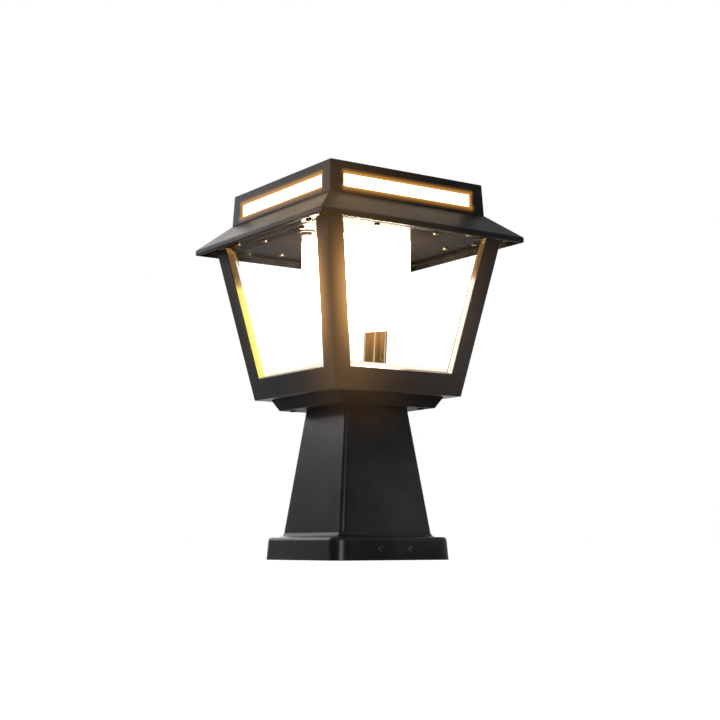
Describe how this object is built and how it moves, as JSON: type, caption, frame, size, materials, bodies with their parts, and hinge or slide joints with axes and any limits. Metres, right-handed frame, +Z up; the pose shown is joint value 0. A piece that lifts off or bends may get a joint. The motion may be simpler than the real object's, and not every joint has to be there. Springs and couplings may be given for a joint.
{
  "type": "solar lamp",
  "caption": "Solar pillar lamp with a flanged tapered pedestal, a glazed lantern around a frosted diffuser, and an overhanging roof whose head has lit strips and a solar panel.",
  "frame": {"origin": "centre of the base flange's underside, where the lamp stands on its pillar", "axes": "+Z up, -Y to the front, where the base screws and the wider side of the picture's view are, +X to the right"},
  "size_m": [0.25, 0.25, 0.3889],
  "materials": {
    "zinc_plate": "zinc plated",
    "black_screw": "blackened",
    "dark_screw": "dark plated",
    "bright_screw": "plated",
    "cast_pedestal": "satin powder coat",
    "cast_collar": "satin powder coat",
    "cast_lantern": "satin powder coat",
    "cast_roof": "satin powder coat",
    "white_reflector": "white gloss",
    "bead_plastic": "matte",
    "ceiling_paint": "smooth gloss coat",
    "seal_rubber": "matte",
    "light_chip": "phosphor",
    "diffuser_frost": "frosted, lit",
    "strip_frost": "frosted, lit",
    "carrier_alloy": "turned",
    "white_board": "solder mask",
    "green_board": "solder mask",
    "bezel_plastic": "moulded",
    "button_plastic": "moulded",
    "tray_plastic": "moulded",
    "battery_wrap": "shrink wrap",
    "part_plastic": "moulded",
    "brass_post": "turned",
    "panel_backing": "laminate",
    "solar_cell": "monocrystalline",
    "clear_pane": "clear",
    "panel_glass": "tempered"
  },
  "bodies": {
    "lamp": {"mounting_plate": "zinc_plate", "base_screws": "black_screw", "pedestal": "cast_pedestal", "collar": "cast_collar", "collar_screws": "dark_screw", "neck_screws": "bright_screw", "lantern_frame": "cast_lantern", "reflector_posts": "bright_screw", "floor_reflector": "white_reflector", "reflector_screws": "bright_screw", "pane_front": "clear_pane", "pane_right": "clear_pane", "pane_back": "clear_pane", "pane_left": "clear_pane", "glazing_beads": "bead_plastic", "post_screws": "bright_screw", "ceiling_plate": "ceiling_paint", "ceiling_screws": "black_screw", "ceiling_seal": "seal_rubber", "roof_shell": "cast_roof", "roof_head": "cast_roof", "head_screws": "bright_screw", "strip_lens_front": "strip_frost", "strip_lens_right": "strip_frost", "strip_lens_back": "strip_frost", "strip_lens_left": "strip_frost", "strip_board_front": "white_board", "strip_board_right": "white_board", "strip_board_back": "white_board", "strip_board_left": "white_board", "strip_chips": "light_chip", "diffuser": "diffuser_frost", "light_carrier": "carrier_alloy", "carrier_screws": "bright_screw", "light_board": "white_board", "light_chips": "light_chip", "board_screws": "bright_screw", "button_bezel": "bezel_plastic", "button_nut": "bright_screw", "button_switch": "bezel_plastic", "battery_tray": "tray_plastic", "tray_screws": "bright_screw", "battery_cells": "battery_wrap", "control_board": "green_board", "control_parts": "part_plastic", "board_posts": "brass_post", "panel_seal": "seal_rubber", "panel_backing": "panel_backing", "solar_cells": "solar_cell", "panel_glass": "panel_glass"},
    "button": {"push_button": "button_plastic"}
  },
  "joints": [
    {"name": "button_press", "type": "slide", "parent": "lamp", "child": "button", "axis": [0, 0, 1], "range_m": [0, 0.0015], "stiffness_N_per_m": 400, "springref_m": -0.001}
  ]
}
